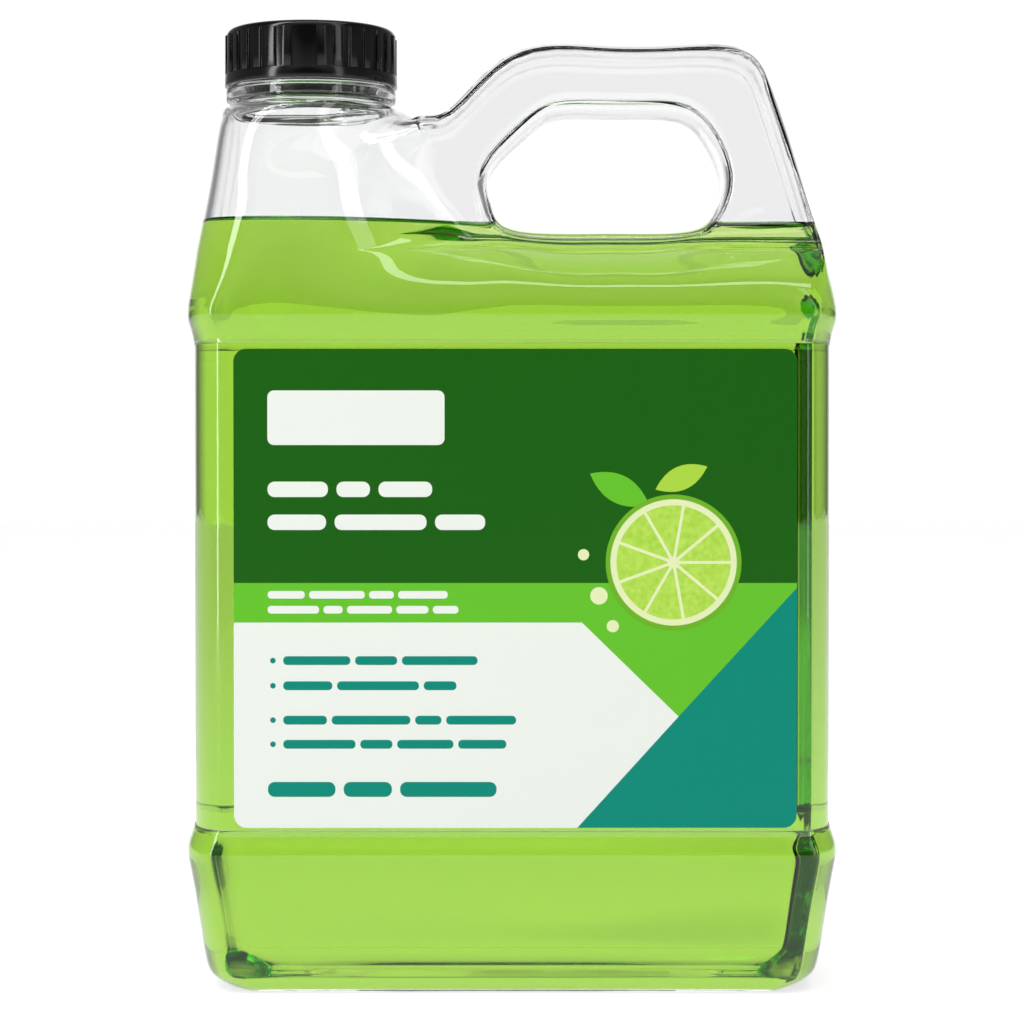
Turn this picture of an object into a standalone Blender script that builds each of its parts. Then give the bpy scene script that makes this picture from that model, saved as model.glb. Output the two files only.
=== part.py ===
"""Hand soap refill pack: a clear blown bottle with a hollow carrying handle, filled with liquid
soap and closed by a ribbed screw cap. The label side faces -Y, the neck stands at -X and the
handle at +X. The origin is the centre of the base, on the surface that the pack stands on."""
import math

import bpy
import bmesh
from mathutils import Matrix, Vector

MM = 0.001

# Driving dimensions, in millimetres.
WALL = 1.0
CONTENTS_GAP = 0.35
FILL_HEIGHT = 152.1

BODY_SIDE_CORNER = 8.0
BODY_FRONT_CORNER = 15.0
PANEL_HALF_WIDTH = 63.2
PANEL_HALF_DEPTH = 27.9

HANDLE_HALF_DEPTH = 12.5
HANDLE_WALL_HALF_DEPTH = 8.2
EDGE_ROUND = 3.0
EDGE_SHOULDER = 0.9
EDGE_SHOULDER_HALF_DEPTH = 11.5

NECK_X = -40.9
NECK_RADIUS = 15.25
LEDGE_RADIUS = 17.2
LEDGE_HEIGHT = 175.7
BEAD_RADIUS = 17.2
BEAD_BOTTOM = 177.0
BEAD_TOP = 179.7
MOUTH_HEIGHT = 189.0

CAP_RADIUS = 17.5
CAP_BOTTOM = 180.2
CAP_TOP = 191.7
CAP_BAND = 2.3
CAP_BORE_RADIUS = 16.25
CAP_ROOF = 1.2
CAP_EDGE_ROUND = 1.5
CAP_SIDES = 64
RIB_DEPTH = 0.45
RIB_WIDTH = 1.6
RIB_PITCH = math.radians(11.25)
RIBS_IN_GROUP = 7
RIB_GROUPS = 4

LINER_RADIUS = 15.4
LINER_THICKNESS = 0.9
LINER_GAP = 0.3

FRONT_LABEL = {"left": -54.1, "right": 55.4, "bottom": 32.9, "top": 126.1}
BACK_LABEL = {"left": -36.0, "right": 36.0, "bottom": 40.0, "top": 119.0}
LABEL_THICKNESS = 0.15
LABEL_GAP = 0.1
LABEL_CORNER = 2.5

# Where the columns of the front face stand on the label panel, left to right between its corners.
FRONT_COLUMNS = (-46.0, -38.0, -30.0, -22.0, -16.0, -10.5, -5.0, 2.0, 13.0, 24.0, 38.0)
CORNER_ANGLES = (0.0, 35.0, 62.0, 90.0)
HANDLE_COLUMN = 8

# Level sections of the body from the foot to the upper bulge: height, half width, half depth.
BODY_SECTIONS = (
    (0.0, 52.0, 19.0),
    (0.0, 56.2, 23.0),
    (2.3, 59.9, 26.0),
    (6.5, 61.4, 27.7),
    (17.0, 62.95, 28.5),
    (24.8, 64.3, 29.15),
    (28.2, 64.5, 29.25),
    (30.6, 63.8, 28.5),
    (32.4, PANEL_HALF_WIDTH, PANEL_HALF_DEPTH),
    (80.0, PANEL_HALF_WIDTH, PANEL_HALF_DEPTH),
    (127.0, PANEL_HALF_WIDTH, PANEL_HALF_DEPTH),
    (129.4, 63.6, 28.4),
    (131.8, 64.25, 29.25),
    (134.6, 64.35, 29.25),
)
PUSH_UP_HEIGHT = 1.8
PUSH_UP_HALF_LENGTH = 38.0

# Shoulder sections between the body and the neck: x, half depth and height, left to right.
SHOULDER_LOW = (
    (-62.8, 0.0, 147.0), (-62.8, 12.0, 147.0), (-60.5, 21.0, 147.0), (-56.2, 25.1, 147.0),
    (-51.0, 26.4, 147.0), (-45.0, 26.6, 147.0), (-37.5, 26.0, 147.0), (-29.8, 24.2, 147.2),
    (-22.6, 21.2, 147.6), (-17.0, 18.2, 148.0), (-12.4, 15.6, 148.3), (-8.4, 13.6, 148.4),
)
SHOULDER_MIDDLE = (
    (-61.5, 0.0, 155.2), (-61.3, 10.8, 155.2), (-59.2, 18.4, 155.2), (-55.2, 22.1, 155.2),
    (-50.0, 23.7, 155.3), (-44.0, 23.9, 155.4), (-37.2, 23.0, 155.8), (-30.4, 20.6, 156.6),
    (-24.0, 17.2, 157.6), (-18.8, 14.6, 157.6), (-15.0, 13.1, 157.2), (-11.4, 12.6, 156.5),
)
SHOULDER_HIGH = (
    (-60.4, 0.0, 163.0), (-60.1, 9.4, 163.0), (-58.0, 16.2, 163.1), (-54.0, 19.8, 163.3),
    (-48.6, 20.9, 163.5), (-42.8, 21.0, 163.9), (-36.8, 19.4, 165.0), (-31.0, 16.4, 167.4),
    (-26.2, 13.0, 170.2), (-21.2, 12.6, 169.0), (-16.9, 12.5, 166.8), (-12.6, 12.5, 164.2),
)
SHOULDER_TOP = (
    (-58.9, 0.0, 173.4), (-58.5, 7.2, 173.4), (-56.4, 12.8, 173.4), (-52.6, 16.6, 173.4),
    (-47.7, 18.3, 173.4), (-42.2, 18.4, 173.4), (-35.4, 16.4, 173.6), (-28.4, 11.2, 174.0),
)
SHOULDER_EASE = 2.2
NECK_SIDE_EASE = 1.3
SHOULDER_STEPS = (0.33, 0.64, 0.85)

# The finger hole's outline and, for each of its points from the neck's side round the top to the
# right shoulder, the point of the handle's outline that faces it: x and height.
HOLE = (
    (-1.2, 151.2), (9.0, 150.0), (18.0, 150.0), (27.5, 150.0), (37.4, 151.0),
    (41.4, 155.8), (42.4, 162.0), (39.6, 169.2), (35.0, 173.8), (27.0, 174.7),
    (18.0, 174.7), (8.6, 174.4), (3.0, 170.8), (-2.4, 165.8), (-5.1, 160.8), (-4.2, 155.8),
)
HOLE_LOWER_RIGHT = 4
HOLE_HIGH_LEFT = 13
HANDLE_OUTLINE = (
    (-18.6, 173.7), (-12.4, 175.0), (-0.2, 186.3), (17.0, 187.7), (31.0, 187.7),
    (46.2, 187.1), (52.2, 179.2), (55.8, 169.0), (58.8, 159.0), (61.8, 149.3),
)

COLOURS = {
    "bottle": (0.86, 0.87, 0.88, 0.10, 0.0),
    "soap": (0.42, 0.72, 0.12, 0.15, 0.0),
    "front_label": (0.03, 0.20, 0.02, 0.35, 0.0),
    "back_label": (0.03, 0.20, 0.02, 0.35, 0.0),
    "screw_cap": (0.01, 0.01, 0.01, 0.25, 0.0),
    "cap_liner": (0.05, 0.05, 0.05, 0.60, 0.0),
}


def clear_scene():
    for obj in list(bpy.data.objects):
        bpy.data.objects.remove(obj, do_unlink=True)


def material(name):
    red, green, blue, roughness, metallic = COLOURS[name]
    made = bpy.data.materials.new(name)
    made.use_nodes = True
    shader = made.node_tree.nodes["Principled BSDF"]
    shader.inputs["Base Color"].default_value = (red, green, blue, 1.0)
    shader.inputs["Roughness"].default_value = roughness
    shader.inputs["Metallic"].default_value = metallic
    return made


def place(name, mesh, collection):
    mesh.materials.append(material(name))
    obj = bpy.data.objects.new(name, mesh)
    collection.objects.link(obj)
    return obj


def mesh_from(bm, name, sharp_degrees=40.0):
    bmesh.ops.recalc_face_normals(bm, faces=bm.faces[:])
    mesh = bpy.data.meshes.new(name)
    bm.to_mesh(mesh)
    bm.free()
    mesh.shade_smooth()
    mesh.set_sharp_from_angle(angle=math.radians(sharp_degrees))
    return mesh


def mix(low, high, t):
    return tuple(a + (b - a) * t for a, b in zip(low, high))


def body_section(height, half_width, half_depth):
    """Half of one level section, from the left edge round the front to the right edge."""
    corner = []
    corner_y = min(BODY_FRONT_CORNER, half_depth * 0.6)
    for degrees in CORNER_ANGLES:
        turn = math.radians(degrees)
        x = half_width - BODY_SIDE_CORNER * (1.0 - math.cos(turn))
        corner.append((x, half_depth - corner_y * (1.0 - math.sin(turn))))
    stretch = (half_width - BODY_SIDE_CORNER) / (PANEL_HALF_WIDTH - BODY_SIDE_CORNER)
    left = [(-half_width, 0.0)] + [(-x, depth) for x, depth in corner]
    front = [(x * stretch, half_depth) for x in FRONT_COLUMNS]
    right = [(-x, depth) for x, depth in reversed(left)]
    return [(x, depth, height) for x, depth in left + front + right]


def base_line():
    """The middle of the pushed-up base, where both halves of the bottle meet."""
    row = body_section(PUSH_UP_HEIGHT, PANEL_HALF_WIDTH, PANEL_HALF_DEPTH)
    limit = PUSH_UP_HALF_LENGTH
    return [(max(-limit, min(limit, x)), 0.0, height) for x, _, height in row]


def outline_normal(points, index, closed):
    """The direction square to an outline at one of its points, to the left of its run."""
    count = len(points)
    before = points[(index - 1) % count] if closed or index else points[index]
    after = points[(index + 1) % count] if closed or index < count - 1 else points[index]
    along = Vector((after[0] - before[0], after[1] - before[1])).normalized()
    return Vector((-along.y, along.x))


def edge_profile(point, inward):
    """Four points of a rounded edge, from the middle plane to the handle's flat face."""
    steps = (
        (0.0, 0.0),
        (0.0, HANDLE_WALL_HALF_DEPTH),
        (EDGE_SHOULDER, EDGE_SHOULDER_HALF_DEPTH),
        (EDGE_ROUND, HANDLE_HALF_DEPTH),
    )
    return [
        (point[0] + inward.x * inset, depth, point[1] + inward.y * inset)
        for inset, depth in steps
    ]


def hole_spokes():
    return [
        edge_profile(point, -outline_normal(HOLE, index, True)) for index, point in enumerate(HOLE)
    ]


def handle_spokes():
    return [
        edge_profile(point, -outline_normal(HANDLE_OUTLINE, index, False))
        for index, point in enumerate(HANDLE_OUTLINE)
    ]


def neck_ring(radius, height):
    """Half of a level ring round the neck, in step with the shoulder's first nine columns."""
    ring = []
    for column in range(HANDLE_COLUMN + 1):
        turn = math.pi * column / HANDLE_COLUMN
        ring.append((NECK_X - radius * math.cos(turn), radius * math.sin(turn), height))
    return ring


OUTER_NECK = (
    (LEDGE_RADIUS, LEDGE_HEIGHT),
    (NECK_RADIUS, LEDGE_HEIGHT + 0.6),
    (NECK_RADIUS, BEAD_BOTTOM - 0.3),
    (BEAD_RADIUS, BEAD_BOTTOM + 0.4),
    (BEAD_RADIUS, BEAD_TOP - 0.3),
    (NECK_RADIUS, BEAD_TOP + 0.2),
    (NECK_RADIUS, MOUTH_HEIGHT),
)
INNER_NECK = (
    (LEDGE_RADIUS, LEDGE_HEIGHT),
    (NECK_RADIUS, LEDGE_HEIGHT + 0.6),
    (NECK_RADIUS, MOUTH_HEIGHT),
)


def loft(vertex, low, high):
    """Faces between two rows of points that have the same count."""
    bm = vertex.bm
    for column in range(len(low) - 1):
        corners = [low[column], low[column + 1], high[column + 1], high[column]]
        points = []
        for corner in corners:
            point = vertex(corner)
            if point not in points:
                points.append(point)
        bm.faces.new(points)


class Vertices:
    """Makes each point of the cage once, however many rows share it."""

    def __init__(self):
        self.bm = bmesh.new()
        self.made = {}

    def __call__(self, point):
        key = tuple(round(value, 4) for value in point)
        if key not in self.made:
            x, depth, height = key
            self.made[key] = self.bm.verts.new((x * MM, -depth * MM, height * MM))
        return self.made[key]


def shoulder_ease(column):
    """How late the front falls back to the shoulder: evenly at the neck, late under the handle."""
    share = min(1.0, max(0.0, (column - HANDLE_COLUMN + 1) / 5))
    return NECK_SIDE_EASE + (SHOULDER_EASE - NECK_SIDE_EASE) * share


def skin(neck_profile, inset):
    """The bottle's surface, open at the mouth and moved inwards by the inset."""
    vertex = Vertices()
    hole = hole_spokes()
    handle = handle_spokes()
    middle = HANDLE_COLUMN + 4

    right_edge = list(reversed(handle[-1]))
    low = list(SHOULDER_LOW) + [spoke[3] for spoke in hole[: HOLE_LOWER_RIGHT + 1]] + right_edge
    bulge = body_section(*BODY_SECTIONS[-1])
    rows = [base_line()] + [body_section(*section) for section in BODY_SECTIONS]
    for step in SHOULDER_STEPS:
        row = []
        for column, (below, above) in enumerate(zip(bulge, low)):
            x, _, height = mix(below, above, step)
            fall = step ** shoulder_ease(column)
            row.append((x, below[1] + (above[1] - below[1]) * fall, height))
        rows.append(row)
    rows.append(low)
    for below, above in zip(rows, rows[1:]):
        loft(vertex, below, above)

    top = list(SHOULDER_TOP) + handle[0] + [hole[HOLE_HIGH_LEFT][3]]
    shoulder = [
        low[: middle + 1],
        list(SHOULDER_MIDDLE) + [hole[-1][3]],
        list(SHOULDER_HIGH) + [hole[-2][3]],
        top,
    ]
    for below, above in zip(shoulder, shoulder[1:]):
        loft(vertex, below, above)

    facing = hole[HOLE_LOWER_RIGHT : HOLE_HIGH_LEFT + 1][::-1]
    bar = [outer + [inner[3]] for outer, inner in zip(handle, facing)]
    for below, above in zip(bar, bar[1:]):
        loft(vertex, below, above)
    for below, above in zip(hole, hole[1:] + hole[:1]):
        loft(vertex, below, above)

    rings = [top[: HANDLE_COLUMN + 1]] + [neck_ring(*ring) for ring in neck_profile]
    for below, above in zip(rings, rings[1:]):
        loft(vertex, below, above)

    bm = vertex.bm
    geometry = bm.verts[:] + bm.edges[:] + bm.faces[:]
    bmesh.ops.mirror(bm, geom=geometry, matrix=Matrix(), merge_dist=1e-6, axis="Y")
    bmesh.ops.recalc_face_normals(bm, faces=bm.faces[:])
    if inset:
        moved = [(v, v.co - v.normal * v.calc_shell_factor() * inset * MM) for v in bm.verts]
        for v, target in moved:
            v.co = target
    return bm


def add_skin(bm, other):
    mesh = bpy.data.meshes.new("second_skin")
    other.to_mesh(mesh)
    other.free()
    bm.from_mesh(mesh)
    bpy.data.meshes.remove(mesh)


def make_bottle(collection):
    """One blown piece: the outer skin, the inner skin and the flat rim between them."""
    bm = skin(OUTER_NECK, 0.0)
    inner = skin(INNER_NECK, WALL)
    bmesh.ops.reverse_faces(inner, faces=inner.faces[:])
    add_skin(bm, inner)
    rim = [edge for edge in bm.edges if edge.is_boundary]
    bmesh.ops.bridge_loops(bm, edges=rim)
    return place("bottle", mesh_from(bm, "bottle"), collection)


def make_soap(collection):
    """The liquid: the bottle's inside up to the fill height, on both sides of the finger hole."""
    bm = skin(INNER_NECK, WALL + CONTENTS_GAP)
    geometry = bm.verts[:] + bm.edges[:] + bm.faces[:]
    level = (0.0, 0.0, FILL_HEIGHT * MM)
    bmesh.ops.bisect_plane(bm, geom=geometry, plane_co=level, plane_no=(0, 0, 1), clear_outer=True)
    surface = [edge for edge in bm.edges if edge.is_boundary]
    bmesh.ops.holes_fill(bm, edges=surface)
    return place("soap", mesh_from(bm, "soap"), collection)


def make_label(name, side, extent, collection):
    """A film with rounded corners, on the flat panel at the front (-1) or the back (+1)."""
    width = extent["right"] - extent["left"]
    height = extent["top"] - extent["bottom"]
    bpy.ops.mesh.primitive_cube_add(size=1.0)
    made = bpy.context.active_object
    mesh = made.data
    bpy.data.objects.remove(made, do_unlink=True)
    size = (width * MM, LABEL_THICKNESS * MM, height * MM)
    depth = PANEL_HALF_DEPTH + LABEL_GAP + LABEL_THICKNESS / 2
    centre = Vector((extent["left"] + width / 2, side * depth, extent["bottom"] + height / 2)) * MM
    mesh.transform(Matrix.Translation(centre) @ Matrix.Diagonal((*size, 1.0)))
    bm = bmesh.new()
    bm.from_mesh(mesh)
    bpy.data.meshes.remove(mesh)
    corners = [edge for edge in bm.edges if abs(edge.verts[0].co.y - edge.verts[1].co.y) > 1e-6]
    bmesh.ops.bevel(
        bm, geom=corners, offset=LABEL_CORNER * MM, segments=4, profile=0.5, affect="EDGES"
    )
    return place(name, mesh_from(bm, name), collection)


def turned(name, profile, sides, collection):
    """A closed profile of radius and height, turned about the neck's axis."""
    mesh = bpy.data.meshes.new(name)
    points = [(radius * MM, 0.0, height * MM) for radius, height in profile]
    closing = [] if profile[0][0] == 0.0 else [(len(points) - 1, 0)]
    edges = [(index, index + 1) for index in range(len(points) - 1)] + closing
    mesh.from_pydata(points, edges, [])
    obj = place(name, mesh, collection)
    obj.location = (NECK_X * MM, 0.0, 0.0)
    screw = obj.modifiers.new("turn", "SCREW")
    screw.steps = sides
    screw.render_steps = sides
    screw.use_merge_vertices = True
    screw.merge_threshold = 0.00001
    screw.use_smooth_shade = True
    return obj


def rib_angles():
    for group in range(RIB_GROUPS):
        for rib in range(RIBS_IN_GROUP):
            yield group * math.tau / RIB_GROUPS + (rib + 1) * RIB_PITCH


def make_ribs(cutters):
    """The grip ribs that stand out from the cap's side, in four groups."""
    bm = bmesh.new()
    bottom = CAP_BOTTOM + CAP_BAND
    top = CAP_TOP - CAP_EDGE_ROUND
    depth = RIB_DEPTH + 0.4
    for angle in rib_angles():
        turn = Matrix.Translation((NECK_X * MM, 0, 0)) @ Matrix.Rotation(angle, 4, "Z")
        centre = Vector((CAP_RADIUS - depth / 2, 0.0, (bottom + top) / 2)) * MM
        size = Matrix.Diagonal((depth * MM, RIB_WIDTH * MM, (top - bottom) * MM, 1.0))
        bmesh.ops.create_cube(bm, size=1.0, matrix=turn @ Matrix.Translation(centre) @ size)
    mesh = mesh_from(bm, "cap_ribs")
    ribs = bpy.data.objects.new("cap_ribs", mesh)
    ribs.hide_render = True
    ribs.display_type = "WIRE"
    cutters.objects.link(ribs)
    return ribs


def make_cap(collection, cutters):
    """A turned cap, open below, with the ribs joined to its side."""
    side = CAP_RADIUS - RIB_DEPTH
    ceiling = CAP_TOP - CAP_ROOF
    profile = [
        (0.0, CAP_TOP),
        (side - CAP_EDGE_ROUND, CAP_TOP),
        (side - 0.3 * CAP_EDGE_ROUND, CAP_TOP - 0.3 * CAP_EDGE_ROUND),
        (side, CAP_TOP - CAP_EDGE_ROUND),
        (side, CAP_BOTTOM + CAP_BAND),
        (CAP_RADIUS, CAP_BOTTOM + CAP_BAND - 0.3),
        (CAP_RADIUS, CAP_BOTTOM),
        (CAP_BORE_RADIUS, CAP_BOTTOM),
        (CAP_BORE_RADIUS, ceiling),
        (0.0, ceiling),
    ]
    cap = turned("screw_cap", profile, CAP_SIDES, collection)
    union = cap.modifiers.new("ribs", "BOOLEAN")
    union.operation = "UNION"
    union.solver = "EXACT"
    union.object = make_ribs(cutters)
    return cap


def make_liner(collection):
    """The soft disc in the cap's roof that seals on the bottle's rim."""
    bottom = MOUTH_HEIGHT + LINER_GAP
    profile = [
        (0.0, bottom + LINER_THICKNESS),
        (LINER_RADIUS, bottom + LINER_THICKNESS),
        (LINER_RADIUS, bottom),
        (0.0, bottom),
    ]
    return turned("cap_liner", profile, CAP_SIDES // 2, collection)


def main():
    clear_scene()
    pack = bpy.data.collections.new("soap_refill_pack")
    cutters = bpy.data.collections.new("cutters")
    bpy.context.scene.collection.children.link(pack)
    bpy.context.scene.collection.children.link(cutters)
    make_bottle(pack)
    make_soap(pack)
    make_label("front_label", -1, FRONT_LABEL, pack)
    make_label("back_label", 1, BACK_LABEL, pack)
    make_cap(pack, cutters)
    make_liner(pack)


main()
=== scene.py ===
# %% [markdown]
# # A refill pack of hand soap
#
# The object is a clear blown bottle with a hollow carrying handle, filled with a yellow-green
# liquid soap. It has a printed film on its front and another on its back, and a black screw cap
# with a sealing disc in its roof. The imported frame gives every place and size, so each piece here
# is built where the frame says and rides on the frame's body that carries it.

# %% Load the frame
import math

import bmesh
import bpy
from mathutils import Matrix, Vector


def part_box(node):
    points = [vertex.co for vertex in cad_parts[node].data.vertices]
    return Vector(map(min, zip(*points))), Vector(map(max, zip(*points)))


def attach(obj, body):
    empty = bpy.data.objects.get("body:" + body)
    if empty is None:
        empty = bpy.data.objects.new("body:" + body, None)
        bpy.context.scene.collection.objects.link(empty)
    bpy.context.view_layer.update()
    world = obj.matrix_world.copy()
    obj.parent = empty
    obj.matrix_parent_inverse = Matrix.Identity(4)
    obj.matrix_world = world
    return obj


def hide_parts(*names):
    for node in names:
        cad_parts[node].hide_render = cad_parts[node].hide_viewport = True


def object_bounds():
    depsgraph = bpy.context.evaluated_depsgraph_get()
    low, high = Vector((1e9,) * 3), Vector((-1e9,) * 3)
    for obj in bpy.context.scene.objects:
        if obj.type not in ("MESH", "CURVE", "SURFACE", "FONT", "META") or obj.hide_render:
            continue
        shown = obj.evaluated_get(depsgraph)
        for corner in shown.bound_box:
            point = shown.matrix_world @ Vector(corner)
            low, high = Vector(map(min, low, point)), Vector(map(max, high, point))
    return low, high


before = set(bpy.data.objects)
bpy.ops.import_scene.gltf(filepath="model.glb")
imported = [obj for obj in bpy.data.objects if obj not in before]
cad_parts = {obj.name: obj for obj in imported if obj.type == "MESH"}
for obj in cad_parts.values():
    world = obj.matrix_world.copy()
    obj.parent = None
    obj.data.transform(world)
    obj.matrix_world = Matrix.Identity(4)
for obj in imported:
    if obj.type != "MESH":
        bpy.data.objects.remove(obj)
CAD_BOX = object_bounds()
MM = 0.001
print("frame box", CAD_BOX)

# %% [markdown]
# ## Small tools
#
# Most pieces start as a primitive and are shaped in edit mode. An operator works on all that is
# selected, so these helpers clear the selection first, and choose faces and edges by their place.

# %% Helpers for objects, selections and modifiers


def clear_selection():
    if bpy.context.object and bpy.context.object.mode != "OBJECT":
        bpy.ops.object.mode_set(mode="OBJECT")
    bpy.ops.object.select_all(action="DESELECT")


def make_active(obj):
    clear_selection()
    obj.select_set(True)
    bpy.context.view_layer.objects.active = obj


def settle(obj):
    """Puts the object's place and turn into its mesh."""
    make_active(obj)
    bpy.ops.object.transform_apply(location=True, rotation=True, scale=True)


def apply_all(obj):
    make_active(obj)
    for modifier in list(obj.modifiers):
        bpy.ops.object.modifier_apply(modifier=modifier.name)


def join(pieces, name):
    clear_selection()
    for piece in pieces:
        piece.select_set(True)
    bpy.context.view_layer.objects.active = pieces[0]
    bpy.ops.object.join()
    joined = bpy.context.object
    joined.name = name
    return joined


def triangles(obj):
    return sum(len(polygon.vertices) - 2 for polygon in obj.data.polygons)


def select_in_edit(obj, mode, test):
    """Enters edit mode with only the faces or edges selected whose centre passes the test."""
    make_active(obj)
    bpy.ops.object.mode_set(mode="EDIT")
    bpy.ops.mesh.select_mode(type=mode)
    bpy.ops.mesh.select_all(action="DESELECT")
    bm = bmesh.from_edit_mesh(obj.data)
    elements = bm.faces if mode == "FACE" else bm.edges
    for element in elements:
        if mode == "FACE":
            chosen = test(element.calc_center_median(), element.normal)
        else:
            ends = [vert.co for vert in element.verts]
            chosen = test((ends[0] + ends[1]) / 2, ends[1] - ends[0])
        element.select_set(chosen)
    bm.select_flush_mode()
    bmesh.update_edit_mesh(obj.data)


def leave_edit():
    bpy.ops.object.mode_set(mode="OBJECT")


def smooth(obj, degrees=35.0):
    make_active(obj)
    bpy.ops.object.shade_smooth_by_angle(angle=math.radians(degrees))


# %% [markdown]
# ## Materials
#
# Each finish is a Principled shader with its constants on its own sockets. Fine relief comes from
# noise on Object coordinates, at the scale that the real surface has: slow waves in a blown wall,
# fine grain on moulded plastic, fibres of stretch in a film.

# %% Material helpers


def principled(name, colour, roughness, **constants):
    made = bpy.data.materials.new(name)
    made.use_nodes = True
    shader = made.node_tree.nodes["Principled BSDF"]
    shader.inputs["Base Color"].default_value = (*colour, 1.0)
    shader.inputs["Roughness"].default_value = roughness
    for socket, value in constants.items():
        shader.inputs[socket.replace("_", " ")].default_value = value
    return made


def add_node(made, kind, **settings):
    node = made.node_tree.nodes.new(kind)
    for name, value in settings.items():
        setattr(node, name, value)
    return node


def object_noise(made, scale, detail=2.0, stretch=(1.0, 1.0, 1.0)):
    """A noise value on Object coordinates, with about scale ripples in a metre."""
    links = made.node_tree.links
    place = add_node(made, "ShaderNodeTexCoord")
    mapping = add_node(made, "ShaderNodeMapping")
    mapping.inputs["Scale"].default_value = stretch
    noise = add_node(made, "ShaderNodeTexNoise")
    noise.inputs["Scale"].default_value = scale
    noise.inputs["Detail"].default_value = detail
    links.new(place.outputs["Object"], mapping.inputs["Vector"])
    links.new(mapping.outputs["Vector"], noise.inputs["Vector"])
    return noise.outputs["Fac"]


def relief(made, height, distance, strength=1.0):
    bump = add_node(made, "ShaderNodeBump")
    bump.inputs["Distance"].default_value = distance
    bump.inputs["Strength"].default_value = strength
    made.node_tree.links.new(height, bump.inputs["Height"])
    shader = made.node_tree.nodes["Principled BSDF"]
    made.node_tree.links.new(bump.outputs["Normal"], shader.inputs["Normal"])


def vary_roughness(made, value, low, high):
    spread = add_node(made, "ShaderNodeMapRange")
    spread.inputs["To Min"].default_value = low
    spread.inputs["To Max"].default_value = high
    made.node_tree.links.new(value, spread.inputs["Value"])
    shader = made.node_tree.nodes["Principled BSDF"]
    made.node_tree.links.new(spread.outputs["Result"], shader.inputs["Roughness"])


# %% [markdown]
# ## The bottle's cage
#
# A blown bottle has no straight edges: the neck runs into the shoulder, the shoulder into the
# handle and the handle into the body. Separate primitives would meet in hard lines, so the bottle
# is a coarse cage of quads with a Subdivision Surface. Half of the cage is laid out as rows of
# points, from the left edge round the front to the right edge, and mirrored. Level sections make
# the body. Four shoulder rows lead into the neck's rings on the left. A loop of short spokes runs
# round the finger hole, and a second run of spokes makes the handle's outer side.

# %% Driving sizes of the bottle, in millimetres
PACK_WIDTH = (CAD_BOX[1][0] - CAD_BOX[0][0]) / MM
WALL = 1.0
FILL_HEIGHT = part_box("soap")[1][2] / MM
PANEL_HALF_DEPTH = -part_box("front_label")[1][1] / MM - 0.1
PANEL_HALF_WIDTH = PACK_WIDTH / 2 - 1.3
SIDE_CORNER = 8.0
FRONT_CORNER = 15.0

NECK_X = (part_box("screw_cap")[0][0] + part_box("screw_cap")[1][0]) / 2 / MM
NECK_RADIUS = 15.25
LEDGE_RADIUS = 17.2
LEDGE_HEIGHT = 175.7
BEAD_RADIUS = 17.2
BEAD_BOTTOM = 177.0
BEAD_TOP = 179.7
MOUTH_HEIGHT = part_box("bottle")[1][2] / MM

HANDLE_HALF_DEPTH = 12.5
EDGE_STEPS = ((0.0, 0.0), (0.0, 8.2), (0.9, 11.5), (3.0, HANDLE_HALF_DEPTH))
print("pack width", round(PACK_WIDTH, 2), "neck at", round(NECK_X, 2), "fill", round(FILL_HEIGHT, 2))

# %% Level sections of the body: height, half width, half depth
BULGE = PANEL_HALF_DEPTH + 1.35
SECTIONS = (
    (0.0, 52.0, 19.0),
    (0.0, 56.2, 23.0),
    (2.3, 59.9, 26.0),
    (6.5, 61.4, 27.7),
    (17.0, 62.95, 28.5),
    (24.8, 64.3, BULGE - 0.1),
    (28.2, 64.5, BULGE),
    (30.6, 63.8, 28.5),
    (32.4, PANEL_HALF_WIDTH, PANEL_HALF_DEPTH),
    (36.0, PANEL_HALF_WIDTH, PANEL_HALF_DEPTH),
    (80.0, PANEL_HALF_WIDTH, PANEL_HALF_DEPTH),
    (123.0, PANEL_HALF_WIDTH, PANEL_HALF_DEPTH),
    (127.0, PANEL_HALF_WIDTH, PANEL_HALF_DEPTH),
    (129.4, 63.6, 28.4),
    (131.8, 64.25, BULGE),
    (134.6, 64.35, BULGE),
)
FRONT_COLUMNS = (-46.0, -38.0, -30.0, -22.0, -16.0, -10.5, -5.0, 2.0, 13.0, 24.0, 38.0)
CORNER_ANGLES = (0.0, 35.0, 62.0, 90.0)
PUSH_UP = 1.8
PUSH_UP_HALF_LENGTH = 38.0


def body_section(height, half_width, half_depth):
    corner = []
    corner_depth = min(FRONT_CORNER, half_depth * 0.6)
    for degrees in CORNER_ANGLES:
        turn = math.radians(degrees)
        x = half_width - SIDE_CORNER * (1.0 - math.cos(turn))
        corner.append((x, half_depth - corner_depth * (1.0 - math.sin(turn))))
    stretch = (half_width - SIDE_CORNER) / (PANEL_HALF_WIDTH - SIDE_CORNER)
    left = [(-half_width, 0.0)] + [(-x, depth) for x, depth in corner]
    front = [(x * stretch, half_depth) for x in FRONT_COLUMNS]
    right = [(-x, depth) for x, depth in reversed(left)]
    return [(x, depth, height) for x, depth in left + front + right]


def base_line():
    row = body_section(PUSH_UP, PANEL_HALF_WIDTH, PANEL_HALF_DEPTH)
    limit = PUSH_UP_HALF_LENGTH
    return [(max(-limit, min(limit, x)), 0.0, height) for x, _, height in row]


print("sections", len(SECTIONS), "with", len(base_line()), "points each")

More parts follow.
